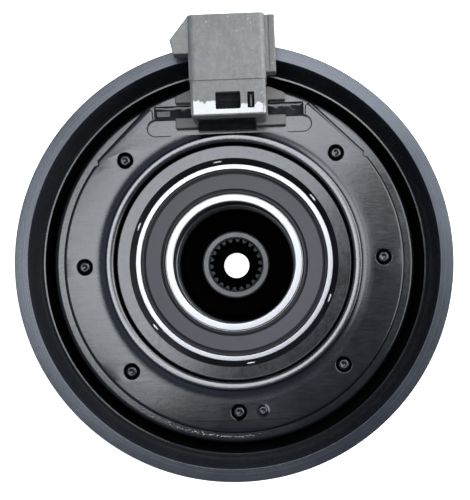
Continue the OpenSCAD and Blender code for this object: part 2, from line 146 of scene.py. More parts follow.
FLANGE_FRONT = bottom("hub_flange")
SPRING_CIRCLE = 41.0
SPRING_START = 90.0
SPRING_SPAN = 50.0
BUMPER_CIRCLE = 34.0
BUMPER_OFFSET = 85.0
FLOOR_Z = cad_low.z / MM

# ---- shapes ----

# A turn that puts an outline's first axis on +Y and its second on +Z, with its depth along +X
SIDE_ON = Matrix(((0, 0, 1, 0), (1, 0, 0, 0), (0, 1, 0, 0), (0, 0, 0, 1)))
# A turn that keeps an outline's first axis on +X and puts its second on +Z, with its depth along -Y
END_ON = Matrix(((1, 0, 0, 0), (0, 0, -1, 0), (0, 1, 0, 0), (0, 0, 0, 1)))


def polar(r, degrees):
    """Point at a radius and an angle."""
    return (r * math.cos(math.radians(degrees)), r * math.sin(math.radians(degrees)))


def arc(cx, cy, r, start, end, count=8):
    """Points of an arc about (cx, cy), from one angle to another."""
    steps = [start + (end - start) * i / count for i in range(count + 1)]
    return [(cx + r * math.cos(math.radians(a)), cy + r * math.sin(math.radians(a))) for a in steps]


def rounded(corners, count=4):
    """A closed outline whose corners (x, y, radius) are rounded."""
    points = []
    for i, (x, y, r) in enumerate(corners):
        here = Vector((x, y))
        before = Vector(corners[i - 1][:2]) - here
        after = Vector(corners[(i + 1) % len(corners)][:2]) - here
        half = before.angle(after) / 2
        if r < 1e-4 or half > math.radians(89.5):
            points.append((x, y))
            continue
        back = min(r / math.tan(half), before.length * 0.49, after.length * 0.49)
        a, b = here + before.normalized() * back, here + after.normalized() * back
        for k in range(count + 1):
            t = k / count
            p = a * (1 - t) ** 2 + here * 2 * t * (1 - t) + b * t * t
            points.append((p.x, p.y))
    return points


def linked(name, data):
    """An object in the scene, from a mesh, curve, light or camera."""
    obj = bpy.data.objects.new(name, data)
    bpy.context.scene.collection.objects.link(obj)
    return obj


def evaluated(obj):
    """The mesh of an object with its modifiers, or of a curve with its thickness."""
    bpy.context.view_layer.update()
    return bpy.data.meshes.new_from_object(obj.evaluated_get(bpy.context.evaluated_depsgraph_get()))


def new_object(name, mesh, sharp=35):
    """Links a mesh, smooth apart from edges sharper than the angle."""
    mesh.shade_smooth()
    mesh.set_sharp_from_angle(angle=math.radians(sharp))
    obj = linked(name, mesh)
    weighted = obj.modifiers.new("weighted", "WEIGHTED_NORMAL")
    weighted.keep_sharp = True
    return obj


def from_bmesh(name, bm, sharp=35):
    """An object from a bmesh in millimetres."""
    bmesh.ops.recalc_face_normals(bm, faces=bm.faces)
    bmesh.ops.scale(bm, vec=(MM, MM, MM), verts=bm.verts)
    mesh = bpy.data.meshes.new(name)
    bm.to_mesh(mesh)
    bm.free()
    return new_object(name, mesh, sharp)


def bridge(bm, near, far):
    """Faces between two loops with the same number of vertices."""
    for i in range(len(near)):
        n = (i + 1) % len(near)
        bm.faces.new((near[i], near[n], far[n], far[i]))


def sweep_rings(bm, profile_at, segments):
    """Adds a closed ring: profile_at(angle) gives the same number of (r, z) points at every angle."""
    rings = []
    for i in range(segments):
        a = 2 * math.pi * i / segments
        c, s = math.cos(a), math.sin(a)
        rings.append([bm.verts.new((r * c, r * s, z)) for r, z in profile_at(math.degrees(a))])
    for i in range(segments):
        here, there = rings[i], rings[(i + 1) % segments]
        for k in range(len(here)):
            n = (k + 1) % len(here)
            bm.faces.new((here[k], there[k], there[n], here[n]))


def lathe(name, profile, segments=256):
    """A ring turned from a closed outline of (r, z) points."""
    bm = bmesh.new()
    sweep_rings(bm, lambda a: profile, segments)
    return from_bmesh(name, bm)


def add_turned(bm, profile, centre, segments=48):
    """Adds a solid of revolution with a closed axis: profile runs from the axis and back to it."""
    poles = (profile[0][1], profile[-1][1])
    rings = []
    for r, z in profile[1:-1]:
        ring = []
        for i in range(segments):
            x, y = polar(r, 360 * i / segments)
            ring.append(bm.verts.new((centre[0] + x, centre[1] + y, z)))
        rings.append(ring)
    for near, far in zip(rings, rings[1:]):
        bridge(bm, near, far)
    for ring, z in ((rings[0], poles[0]), (rings[-1], poles[1])):
        pole = bm.verts.new((centre[0], centre[1], z))
        for i in range(segments):
            bm.faces.new((ring[i], ring[(i + 1) % segments], pole))


def slab(name, loops, z0, z1, edge):
    """A plate with holes and rounded edges, from closed 2-D loops."""
    curve = bpy.data.curves.new(name, "CURVE")
    curve.dimensions = "2D"
    curve.fill_mode = "BOTH"
    for loop in loops:
        spline = curve.splines.new("POLY")
        spline.points.add(len(loop) - 1)
        for point, (x, y) in zip(spline.points, loop):
            point.co = (x * MM, y * MM, 0, 1)
        spline.use_cyclic_u = True
    curve.extrude = (z1 - z0) / 2 * MM - edge * MM
    curve.bevel_depth = edge * MM
    curve.bevel_resolution = 2
    curve.offset = -edge * MM
    obj = linked(name + "_curve", curve)
    mesh = evaluated(obj)
    bpy.data.objects.remove(obj)
    mesh.transform(Matrix.Translation((0, 0, (z0 + z1) / 2 * MM)))
    bm = bmesh.new()
    bm.from_mesh(mesh)
    bmesh.ops.remove_doubles(bm, verts=bm.verts, dist=2e-6)
    bmesh.ops.recalc_face_normals(bm, faces=bm.faces)
    bm.to_mesh(mesh)
    bm.free()
    mesh.name = name
    return new_object(name, mesh, 50)


def rounded_box(name, low, high, edge):
    """A box with rounded edges."""
    bm = bmesh.new()
    bmesh.ops.create_cube(bm, size=1)
    size = [h - l for l, h in zip(low, high)]
    bmesh.ops.scale(bm, vec=size, verts=bm.verts)
    bmesh.ops.translate(bm, vec=[(l + h) / 2 for l, h in zip(low, high)], verts=bm.verts)
    bmesh.ops.bevel(bm, geom=bm.edges[:], offset=edge, segments=3, profile=0.5, affect="EDGES")
    return from_bmesh(name, bm)


def inset(corners, distance):
    """Corners moved inwards from both their sides, for an anticlockwise outline."""
    moved = []
    for i, (x, y, r) in enumerate(corners):
        here = Vector((x, y))
        a = (here - Vector(corners[i - 1][:2])).normalized()
        b = (Vector(corners[(i + 1) % len(corners)][:2]) - here).normalized()
        inward = Vector((-a.y - b.y, a.x + b.x))
        shift = inward * (distance / max(0.2, 1 + a.dot(b)))
        moved.append((x + shift.x, y + shift.y, max(0.02, r - distance if a.cross(b) > 0 else r + distance)))
    return moved


def prism(name, corners, z0, z1, edge=0.3, turn=None, count=4):
    """A solid from an anticlockwise outline of (x, y, radius), with rounded top and bottom edges."""
    bm = bmesh.new()
    loops = []
    steps = [math.radians(90 * k / 3) for k in range(4)]
    levels = [(1 - math.sin(a), z0 + edge * (1 - math.cos(a))) for a in steps]
    levels += [(1 - math.sin(a), z1 - edge * (1 - math.cos(a))) for a in reversed(steps)]
    for share, z in levels:
        points = rounded(inset(corners, edge * share), count)
        loops.append([bm.verts.new((x, y, z)) for x, y in points])
    for near, far in zip(loops, loops[1:]):
        bridge(bm, near, far)
    bm.faces.new(loops[0][::-1])
    bm.faces.new(loops[-1])
    if turn:
        bmesh.ops.transform(bm, matrix=turn, verts=bm.verts)
    return from_bmesh(name, bm)


def slice_up(mesh, start, step, count):
    """Cuts a mesh by planes a step apart, so that shading runs evenly over its large faces."""
    bm = bmesh.new()
    bm.from_mesh(mesh)
    for i in range(count):
        plane = (Vector(start) + Vector(step) * i) * MM
        everything = bm.verts[:] + bm.edges[:] + bm.faces[:]
        bmesh.ops.bisect_plane(bm, geom=everything, dist=1e-7, plane_co=plane, plane_no=step)
    bm.to_mesh(mesh)
    bm.free()


def join(name, objects, sharp=35):
    """One object from several, as separate shells of one piece."""
    bm = bmesh.new()
    for obj in objects:
        bm.from_mesh(obj.data)
        bpy.data.objects.remove(obj)
    mesh = bpy.data.meshes.new(name)
    bm.to_mesh(mesh)
    bm.free()
    return new_object(name, mesh, sharp)


def combine(name, base, others, operation, sharp=35):
    """Boolean of a base object with others, all of which are used up."""
    for other in others:
        modifier = base.modifiers.new("combine", "BOOLEAN")
        modifier.operation = operation
        modifier.solver = "EXACT"
        modifier.object = other
    mesh = evaluated(base)
    for obj in [base, *others]:
        bpy.data.objects.remove(obj)
    mesh.name = name
    return new_object(name, mesh, sharp)


# ---- materials ----


class Nodes:
    """Short calls for building a material's nodes. Texture space is millimetres in the row frame."""

    def __init__(self, name):
        self.material = bpy.data.materials.new(name)
        self.material.use_nodes = True
        self.tree = self.material.node_tree
        self.tree.nodes.clear()
        self.shader = self.add("ShaderNodeBsdfPrincipled")
        output = self.add("ShaderNodeOutputMaterial")
        self.link(self.shader.outputs["BSDF"], output.inputs["Surface"])
        where = self.add("ShaderNodeTexCoord")
        scaled = self.add("ShaderNodeVectorMath", operation="SCALE")
        scaled.inputs["Scale"].default_value = 1 / MM
        self.link(where.outputs["Object"], scaled.inputs[0])
        self.place = scaled.outputs["Vector"]

    def add(self, kind, **settings):
        node = self.tree.nodes.new(kind)
        for key, value in settings.items():
            setattr(node, key, value)
        return node

    def link(self, source, target):
        self.tree.links.new(source, target)

    def math(self, operation, a, b=0.0):
        node = self.add("ShaderNodeMath", operation=operation)
        for socket, value in zip(node.inputs, (a, b)):
            if isinstance(value, (int, float)):
                socket.default_value = value
            else:
                self.link(value, socket)
        return node.outputs[0]

    def noise(self, scale, detail=3, rough=0.5, stretch=(1, 1, 1), place=None, lumps=0.0):
        squeeze = self.add("ShaderNodeVectorMath", operation="MULTIPLY")
        squeeze.inputs[1].default_value = stretch
        self.link(place or self.place, squeeze.inputs[0])
        node = self.add("ShaderNodeTexNoise")
        node.inputs["Scale"].default_value = scale
        node.inputs["Detail"].default_value = detail
        node.inputs["Roughness"].default_value = rough
        node.inputs["Distortion"].default_value = lumps
        self.link(squeeze.outputs["Vector"], node.inputs["Vector"])
        return node.outputs["Fac"]

    def turned_place(self):
        """Coordinates (radius, height, small share of the angle), for marks that run round the axis."""
        x, y, z = self.axes()
        r = self.math("SQRT", self.math("ADD", self.math("MULTIPLY", x, x), self.math("MULTIPLY", y, y)))
        angle = self.math("ARCTAN2", y, x)
        joined = self.add("ShaderNodeCombineXYZ")
        self.link(r, joined.inputs[0])
        self.link(z, joined.inputs[1])
        self.link(self.math("MULTIPLY", angle, 0.6), joined.inputs[2])
        return joined.outputs[0]

    def axes(self, place=None):
        """The three coordinates of a place, one by one."""
        split = self.add("ShaderNodeSeparateXYZ")
        self.link(place or self.place, split.inputs[0])
        return split.outputs

    def band(self, r0, r1, blur=0.12):
        """One between two radii and nothing elsewhere. The blur is the outer edge's."""
        r = self.axes(self.turned_place())[0]
        inside = self.spread(r, 1.0, 0.0, r1 - blur, r1 + blur)
        return self.math("MULTIPLY", inside, self.spread(r, 0.0, 1.0, r0 - 0.12, r0 + 0.12))

    def spread(self, value, low, high, start=0.3, end=0.7):
        """Maps a texture value to a range."""
        node = self.add("ShaderNodeMapRange")
        for name, number in (("From Min", start), ("From Max", end), ("To Min", low), ("To Max", high)):
            node.inputs[name].default_value = number
        self.link(value, node.inputs["Value"])
        return node.outputs["Result"]

    def tint(self, value, dark, light, start=0.3, end=0.7):
        """Colour between two colours by a texture value."""
        ramp = self.add("ShaderNodeValToRGB")
        ramp.color_ramp.elements[0].position = start
        ramp.color_ramp.elements[1].position = end
        ramp.color_ramp.elements[0].color = (*dark, 1)
        ramp.color_ramp.elements[1].color = (*light, 1)
        self.link(value, ramp.inputs["Fac"])
        return ramp.outputs["Color"]

    def blend_colour(self, factor, a, b):
        mix = self.add("ShaderNodeMix", data_type="RGBA")
        self.link(factor, mix.inputs["Factor"])
        for socket, colour in ((mix.inputs["A"], a), (mix.inputs["B"], b)):
            if isinstance(colour, tuple):
                socket.default_value = (*colour, 1)
            else:
                self.link(colour, socket)
        return mix.outputs["Result"]

    def bump(self, height, distance, strength=1.0, under=None):
        node = self.add("ShaderNodeBump")
        node.inputs["Strength"].default_value = strength
        node.inputs["Distance"].default_value = distance * MM
        self.link(height, node.inputs["Height"])
        if under is not None:
            self.link(under, node.inputs["Normal"])
        return node.outputs["Normal"]

    def finish(self, colour, roughness, normal=None, **constants):
        self.link(colour, self.shader.inputs["Base Color"])
        self.link(roughness, self.shader.inputs["Roughness"])
        if normal is not None:
            self.link(normal, self.shader.inputs["Normal"])
        for name, value in constants.items():
            self.shader.inputs[name.replace("_", " ")].default_value = value
        return self.material


def grey(value, blue=1.0):
    """A near-neutral colour."""
    return (value, value, value * blue)


def black_coat(name, base, low, high, brushed=(1, 1, 1), zones=()):
    """Electrocoat over pressed steel: glossy black with orange peel, faint rolling marks and dust.
    Each zone (inner radius, outer radius, extra roughness, specular level, blur) has its own finish."""
    n = Nodes(name)
    blotch = n.noise(0.055, 4, 0.6)
    streak = n.noise(0.9, 3, 0.6, brushed)
    dust = n.noise(3.2, 2, 0.7)
    colour = n.tint(blotch, grey(base * 0.7, 1.15), grey(base * 1.5, 1.15))
    colour = n.blend_colour(n.spread(dust, 0, 0.5, 0.66, 0.8), colour, grey(0.008, 1.05))
    roughness = n.math("ADD", n.spread(blotch, low, high), n.spread(streak, -0.03, 0.04))
    peel = n.bump(n.noise(0.7, 2, 0.5), 0.02, 0.5)
    normal = n.bump(streak, 0.012, 0.6, peel)
    specular = n.spread(blotch, 0.46, 0.54)
    for r0, r1, extra, level, *blur in zones:
        zone = n.band(r0, r1, *blur)
        roughness = n.math("ADD", roughness, n.math("MULTIPLY", zone, extra))
        specular = n.math("ADD", specular, n.math("MULTIPLY", zone, level - 0.5))
    n.link(specular, n.shader.inputs["Specular IOR Level"])
    return n.finish(colour, roughness, normal, IOR=1.5)


def hub_finish(name):
    """Phosphated steel: grey at both ends and outside the bearing's bore. Inside the bore it has painted
    shade: near black and less specular.
    """
    n = Nodes(name)
    z = n.axes()[2]
    rear = n.spread(z, 0.0, 1.0, -13.4, -12.6)
    front = n.spread(z, 1.0, 0.0, FLANGE_FRONT + 0.6, FLANGE_FRONT + 1.0)
    outside = n.spread(n.axes(n.turned_place())[0], 0.0, 1.0, BORE_R, BORE_R + 1)
    outside_painted_shade = n.math("MAXIMUM", n.math("MAXIMUM", rear, front), outside)
    grain = n.noise(1.3, 4, 0.7)
    blotch = n.noise(0.3, 3, 0.6)
    phosphate = n.tint(blotch, (0.03, 0.0315, 0.034), (0.045, 0.0465, 0.049))
    # Painted shade: near black and less specular inside the bearing's bore, away from both ends
    colour = n.blend_colour(outside_painted_shade, (0.0012, 0.0012, 0.0013), phosphate)
    roughness = n.math("ADD", n.spread(blotch, 0.28, 0.36), n.spread(grain, -0.04, 0.05))
    n.link(n.spread(outside_painted_shade, 0.0, 0.5, 0.0, 1.0), n.shader.inputs["Specular IOR Level"])
    return n.finish(colour, roughness, n.bump(grain, 0.02, 0.6))


def pulley_finish(name):
    """Machined steel under a thin dark grey coat: lathe marks, nicks and worn patches."""
    n = Nodes(name)
    around = n.turned_place()
    marks = n.noise(2.4, 4, 0.65, (1, 1, 0.02), around)
    blotch = n.noise(0.045, 4, 0.6)
    nicks = n.noise(0.9, 3, 0.8, lumps=1.2)
    colour = n.tint(blotch, (0.036, 0.039, 0.044), (0.05, 0.053, 0.059))
    colour = n.blend_colour(n.spread(marks, 0, 0.4, 0.45, 0.7), colour, (0.068, 0.072, 0.078))
    colour = n.blend_colour(n.spread(nicks, 0, 0.8, 0.73, 0.78), colour, (0.2, 0.2, 0.21))
    roughness = n.math("ADD", n.spread(blotch, 0.21, 0.28), n.spread(marks, -0.04, 0.05))
    normal = n.bump(marks, 0.02, 0.55, n.bump(n.noise(1.6, 3, 0.6), 0.015, 0.4))
    return n.finish(colour, roughness, normal, Metallic=0.75)


def bare_steel(name, dark, light, low, high, marks_scale, depth, oiled_inside=0.0):
    """Turned or ground steel with marks round the axis. Inside a given radius it's dark with old oil."""
    n = Nodes(name)
    around = n.turned_place()
    marks = n.noise(marks_scale, 3, 0.6, (1, 1, 0.03), around)
    blotch = n.noise(0.2, 3, 0.6)
    wear = n.math("ADD", n.math("MULTIPLY", marks, 0.6), n.math("MULTIPLY", blotch, 0.4))
    colour = n.tint(wear, dark, light)
    if oiled_inside:
        oiled = n.spread(n.axes(around)[0], 1.0, 0.0, oiled_inside - 0.05, oiled_inside + 0.05)
        colour = n.blend_colour(oiled, colour, (0.4, 0.34, 0.27))
        n.link(n.spread(oiled, 1.0, 0.0, 0.0, 1.0), n.shader.inputs["Metallic"])
    roughness = n.math("ADD", n.spread(marks, low, high), n.spread(blotch, -0.03, 0.04))
    n.shader.inputs["Metallic"].default_value = 1.0
    return n.finish(colour, roughness, n.bump(marks, depth, 0.5))


def rolled_steel(name, dark, light, low, high):
    """Sheet or wire steel with marks in no one direction."""
    n = Nodes(name)
    grain = n.noise(1.1, 4, 0.7, (1, 3.5, 1))
    blotch = n.noise(0.12, 4, 0.6)
    colour = n.tint(blotch, dark, light)
    colour = n.blend_colour(n.spread(grain, 0, 0.35, 0.5, 0.75), colour, tuple(c * 0.6 for c in dark))
    roughness = n.math("ADD", n.spread(blotch, low, high), n.spread(grain, -0.04, 0.05))
    return n.finish(colour, roughness, n.bump(grain, 0.015, 0.5), Metallic=1.0)


def rubber(name, dark, light, low, high, painted_shade_below=0.0):
    """Moulded rubber with a fine matt skin. Painted shade: it's darker and less specular where it's further
    in than a given height.
    """
    n = Nodes(name)
    blotch = n.noise(0.16, 4, 0.6)
    skin = n.noise(3.5, 3, 0.6)
    colour = n.tint(blotch, dark, light)
    if painted_shade_below:
        outer = n.spread(n.math("ABSOLUTE", n.axes()[2]), 0.0, 1.0, painted_shade_below - 0.15, painted_shade_below + 0.1)
        # Painted shade: the recessed parts, further in than the given height, are darkened
        colour = n.blend_colour(outer, tuple(c * 0.5 for c in dark), colour)
        n.link(n.spread(outer, 0.2, 0.4, 0.0, 1.0), n.shader.inputs["Specular IOR Level"])
    roughness = n.math("ADD", n.spread(blotch, low, high), n.spread(skin, -0.04, 0.04))
    return n.finish(colour, roughness, n.bump(skin, 0.02, 0.6))


def moulded(name, dark, light, low, high):
    """Glass-filled plastic: flow marks, fibre streaks and a slightly uneven gloss."""
    n = Nodes(name)
    drift = n.noise(0.09, 4, 0.65, lumps=0.6)
    fibres = n.noise(1.8, 4, 0.75)
    colour = n.tint(drift, dark, light)
    colour = n.blend_colour(n.spread(fibres, 0, 0.3, 0.52, 0.75), colour, tuple(c * 1.35 for c in light))
    roughness = n.math("ADD", n.spread(drift, low, high), n.spread(fibres, -0.04, 0.06))
    normal = n.bump(fibres, 0.02, 0.5, n.bump(drift, 0.05, 0.4))
    return n.finish(colour, roughness, normal, Specular_IOR_Level=0.5)


def housing_finish(name):
    """Grey glass-filled plastic: patchy, streaked both ways and scuffed, glossy at the low end of its top."""
    n = Nodes(name)
    x, y, z = n.axes()
    patches = n.noise(0.2, 5, 0.7, (1, 0.6, 1), lumps=0.5)
    across = n.noise(0.8, 3, 0.7, (0.35, 1, 1), lumps=1.0)
    streaks = n.math("MULTIPLY", n.noise(0.9, 3, 0.7, (1, 0.3, 1)), across)
    colour = n.tint(patches, (0.062, 0.06, 0.053), (0.138, 0.133, 0.117), 0.25, 0.75)
    colour = n.blend_colour(n.spread(streaks, 0, 0.35, 0.22, 0.36), colour, (0.18, 0.175, 0.155))
    # Painted shade: the rail, beyond x = 12.8 mm, is darkened
    colour = n.blend_colour(n.spread(x, 0, 0.6, 12.8, 13.3), colour, (0.05, 0.049, 0.043))
    worn = n.math("MAXIMUM", n.spread(y, 0.0, 1.0, 70, 76), n.spread(x, 0.0, 1.0, 8, 11.5))
    scuffs = n.math("MULTIPLY", n.spread(n.noise(0.9, 4, 0.75), 0, 1, 0.62, 0.68), worn)
    colour = n.blend_colour(scuffs, colour, (0.42, 0.42, 0.41))
    lobes = n.math("MULTIPLY", n.noise(0.75, 2, 0.5), 3.0)
    edge = n.math("ADD", n.math("ADD", y, lobes), n.math("MULTIPLY", x, 0.06))
    glossy = n.math("MULTIPLY", n.spread(edge, 1, 0, 51.4, 51.7), n.spread(z, 0, 1, 36.6, 37.0))
    roughness = n.math("SUBTRACT", n.spread(patches, 0.4, 0.52), n.math("MULTIPLY", glossy, 0.36))
    n.link(n.spread(glossy, 0.5, 1.1, 0, 1), n.shader.inputs["Specular IOR Level"])
    return n.finish(colour, roughness, n.bump(streaks, 0.03, 0.5))


def resin(name):
    """Potting compound that has flowed and set, wet-looking, with small ripples."""
    n = Nodes(name)
    flow = n.noise(0.35, 3, 0.5, lumps=0.8)
    fine = n.noise(1.6, 2, 0.5)
    colour = n.tint(flow, grey(0.006), grey(0.014, 1.1))
    roughness = n.spread(flow, 0.05, 0.14)
    normal = n.bump(flow, 0.05, 0.8, n.bump(fine, 0.01, 0.4))
    return n.finish(colour, roughness, normal, Specular_IOR_Level=0.3)


def copper(name):
    """Enamelled wire: round turns side by side under clear varnish."""
    n = Nodes(name)
    r, z, _ = n.axes(n.turned_place())
    turns = n.math("SINE", n.math("MULTIPLY", n.math("ADD", r, z), 9.0))
    stain = n.noise(0.3, 3, 0.6)
    colour = n.tint(stain, (0.42, 0.15, 0.05), (0.68, 0.28, 0.1))
    roughness = n.spread(stain, 0.22, 0.36)
    return n.finish(colour, roughness, n.bump(turns, 0.08, 0.7), Metallic=1.0, Coat_Weight=0.5)


# One finish for each slot of the record
FINISHES = {
    "shell_black": (black_coat, 0.0015, 0.14, 0.2),
    "plate_black": (black_coat, 0.0015, 0.14, 0.2, (0.25, 4, 1), (
        (COLLAR_R - 1, COLLAR_R + 2.7, 0.0, 0.85), (COLLAR_R + 2.7, 45.6, 0.1, 0.6, 1.2))),
    "rotor_black": (black_coat, 0.003, 0.14, 0.2, (1, 1, 0.3), (
        (0, BEARING_R + 1.8, 0.3, 0.06), (HUB_R - 0.3, HUB_R + 0.3, 0.45, 1.0))),
    "hub_steel": (hub_finish,),
    "pulley_grey": (pulley_finish,),
    "bearing_steel": (bare_steel, grey(0.235), grey(0.28), 0.3, 0.36, 7.0, 0.001, BORE_R + 0.1),
    "ball_steel": (bare_steel, (0.78, 0.79, 0.8), (0.9, 0.9, 0.91), 0.04, 0.1, 3.0, 0.001),
    "armature_steel": (bare_steel, (0.2, 0.2, 0.21), (0.36, 0.37, 0.38), 0.3, 0.42, 2.6, 0.02),
    "spring_steel": (rolled_steel, (0.3, 0.31, 0.33), (0.46, 0.47, 0.49), 0.28, 0.42),
    "rivet_steel": (rolled_steel, (0.42, 0.42, 0.42), (0.6, 0.6, 0.58), 0.24, 0.38),
    "terminal_brass": (rolled_steel, (0.66, 0.54, 0.28), (0.8, 0.72, 0.48), 0.22, 0.34),
    # The seal's last value is the height further in than which it gets painted shade
    "seal_rubber": (rubber, (0.028, 0.027, 0.029), (0.042, 0.041, 0.042), 0.48, 0.62, BEARING_Z - 0.5),
    "bumper_rubber": (rubber, grey(0.014), grey(0.026), 0.6, 0.75),
    "bobbin_plastic": (moulded, (0.055, 0.054, 0.044), (0.075, 0.073, 0.06), 0.38, 0.5),
    "housing_plastic": (housing_finish,),
    "cage_plastic": (moulded, (0.05, 0.065, 0.04), (0.08, 0.1, 0.065), 0.36, 0.5),
    "diode_epoxy": (moulded, grey(0.01), grey(0.022), 0.22, 0.34),
    "resin_black": (resin,),
    "copper_wire": (copper,),
}
MATERIALS = {name: make(name, *values) for name, (make, *values) in FINISHES.items()}


def place(obj, body, slot, *nodes):
    """Gives a piece its finish, rides it on its body and lets it stand for CAD nodes."""
    obj.data.materials.clear()
    obj.data.materials.append(MATERIALS[slot])
    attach(obj, body)
    if nodes:
        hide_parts(*nodes)


def carry_over():
    """CAD nodes keep their meshes and get their slot's material."""
    for part in frame["record"]["subparts"]:
        obj = frame["nodes"][part["node"]]
        if not obj.material_slots:
            obj.data.materials.append(None)
        for item in obj.material_slots:
            item.material = MATERIALS[part["material_slot"]]


# ---- field coil ----


def plate_outline():
    """Outline of the mounting plate: a disc with two cut corners and an open notch between two horns."""
    horn_y = SLOT_HIGH - 0.3
    cut = math.radians(CHORD_ANGLE)
    horn_x = (CHORD - horn_y * math.sin(cut)) / math.cos(cut)
    end_r = (SLOT_LOW - NOTCH_LOW) / 2
    nick = [polar(CHORD + 0.3, 38.5), polar(CHORD - 1.0, 37.6), polar(PLATE_R, 36.4)]
    right = [
        (SLOT_HALF + 0.3, SLOT_LOW + 0.6), (SLOT_HALF + 0.5, horn_y - 1.2), (horn_x - 0.9, horn_y),
        (horn_x, horn_y - 0.5)]
    right += nick
    left = [(-x, y) for x, y in reversed(right)]
    rim = [polar(PLATE_R, a) for a in range(34, -214, -2)]
    notch = arc(-NOTCH_HALF + end_r, NOTCH_LOW + end_r, end_r, 90, 270, 10)
    notch += arc(NOTCH_HALF - end_r, NOTCH_LOW + end_r, end_r, -90, 90, 10)
    return right + rim + left + notch


def collar_section(degrees):
    """Section of the collar: a lip with a sharp outer edge, and a fillet that the notch cuts off."""
    wall, fillet = COLLAR_WALL, 4.6
    outer = COLLAR_R + wall + 0.15
    limit = outer + fillet
    if 0 < degrees < 180:
        reach_in = NOTCH_LOW / math.sin(math.radians(degrees))
        if abs(reach_in * math.cos(math.radians(degrees))) < NOTCH_HALF - 0.4:
            limit = min(limit, max(reach_in, outer + 0.05))
    base = SHELL_Z + 0.03
    section = [(COLLAR_R + 0.4, base), (COLLAR_R, base + 0.4), (COLLAR_R, COLLAR_Z - 1.2)]
    inner_edge = [
        (0.02, 0.5), (0.12, 0.32), (0.3, 0.21), (0.6, 0.13), (0.9, 0.075), (1.2, 0.035), (1.5, 0.013),
        (1.8, 0.003)]
    section += [(COLLAR_R + dr, COLLAR_Z - dz) for dr, dz in inner_edge]
    section += [(outer - dr, COLLAR_Z - dz) for dr, dz in [(0.4, 0), (0.2, 0.04), (0.06, 0.16), (0, 0.4)]]
    foot_z, rise = PLATE_Z + 0.02, 1.25
    for i in range(17):
        out = (limit - outer) * i / 16
        section.append((outer + out, foot_z + rise * max(0, 1 - out / fillet) ** 4))
    return section + [(limit, base)]


def mounting_plate():
    outline = plate_outline()
    holes = [arc(*polar(RIVET_R, a), 2.55, 0, 345, 23) for a in RIVET_ANGLES]
    bore = arc(0, 0, COLLAR_R + COLLAR_WALL / 2, 0, 357, 119)
    edge = 0.35
    sheet = slab("plate_sheet", [outline, bore, *holes], SHELL_Z + 0.02, PLATE_Z, edge)
    for v in sheet.data.vertices:
        x, y, drop = v.co.x / MM, v.co.y / MM, PLATE_Z - v.co.z / MM
        r = math.hypot(x, y)
        if r > PLATE_R - 0.7 and drop < edge + 0.01 and (abs(x) > 27 or y < 50):
            into = edge - math.sqrt(max(0, edge ** 2 - (edge - drop) ** 2))
            v.co.x *= 1 - 2.1 * into / r
            v.co.y *= 1 - 2.1 * into / r
            v.co.z -= 2.1 * drop * MM
    bm = bmesh.new()
    sweep_rings(bm, collar_section, 360)
    x, y = polar(RIVET_R + 0.3, PIP_ANGLE)
    pip = [(0, -1), (2.3, -1), (2.3, 0), (1.75, 0.15), (1.55, 0.4), (1.5, 0.9), (1.2, 1.2), (0.6, 1.15),
           (0.3, 0.95), (0, 0.9)]
    add_turned(bm, [(r, PLATE_Z + z) for r, z in pip], (x, y), 40)
    collar = from_bmesh("plate_collar", bm)
    piece = join("plate_pressing", [sheet, collar], 50)
    place(piece, "stator", "plate_black", "mounting_plate")


def torn_edge():
    """Crumbs of bare metal along the lower edge of the plate, where the press tore it."""
    draw = random.Random(5)
    bm = bmesh.new()
    foot = SHELL_Z - 0.2
    for step in range(120):
        size = draw.uniform(0.08, 0.3) * math.sin(math.radians(15 + 1.3 * step))
        r = PLATE_R + 1.0 + draw.uniform(-0.35, 0.35)
        section = [
            (0, foot), (size, foot), (size, foot + 0.2), (size * 0.6, foot + 0.25 + size),
            (0, foot + 0.3 + size)]
        add_turned(bm, section, polar(r, 234 + 0.42 * step), 7)
    place(from_bmesh("edge_crumbs", bm), "stator", "rivet_steel")


def coil_shell():
    """The coil's steel cup, with a rolled outer edge and an open slot for the bobbin's neck."""
    front, rear, wall, bend = bottom("coil_shell"), SHELL_Z, 3.0, 1.3
    inner = COLLAR_R + 0.5
    outside = arc(SHELL_R - bend, rear - bend, bend, 0, 90, 9)
    section = [(SHELL_R, front)] + outside + [(PLATE_R - 0.5, rear)]
    section += arc(inner + 1.5, rear - 1.5, 1.5, 90, 180, 6)
    section += [
        (inner, front), (inner + 2.6, front), (inner + 2.6, rear - wall), (SHELL_R - wall, rear - wall),
        (SHELL_R - wall, front)]
    cup = lathe("cup", section)
    slot = rounded_box("slot", (-SLOT_HALF, SLOT_LOW, rear - 4), (SLOT_HALF, SLOT_HIGH, rear + 2), 0.4)
    piece = combine("coil_cup", cup, [slot], "DIFFERENCE")
    place(piece, "stator", "shell_black", "coil_shell")


def plate_rivets():
    """Projection welds: a pip in a shallow pit, with a small dent on top."""
    bm = bmesh.new()
    weld = [
        (0, -1.75), (2.7, -1.7), (2.7, -0.5), (2.15, -1.6), (1.78, -0.5), (1.7, -0.2), (1.5, -0.02),
        (1.2, 0.06), (0.95, 0.04), (0.7, -0.1), (0.4, -0.2), (0, -0.24)]
    section = [(r, PLATE_Z + z) for r, z in weld]
    for a in RIVET_ANGLES:
        add_turned(bm, section, polar(RIVET_R, a), 40)
    place(from_bmesh("weld_pips", bm, 60), "stator", "plate_black", "plate_rivets")


def bobbin_foot_outline():
    """The H-shaped foot that stands on the shell."""
    half, low, high = 18.3, 44.9, 57.8
    waist = HOUSING_HALF + 0.4
    right = [
        (half, low, 0.4), (half, SLOT_LOW + 0.4, 0.3), (waist, SLOT_LOW + 0.4, 0.3),
        (waist, SLOT_HIGH + 0.4, 0.3), (half, SLOT_HIGH + 0.4, 0.3), (half, high - 2.2, 1.2),
        (half - 5.2, high, 2.0),
    ]
    left = [(-x, y, r) for x, y, r in reversed(right)]
    return [(x + TOWER_X, y, r) for x, y, r in right + left]


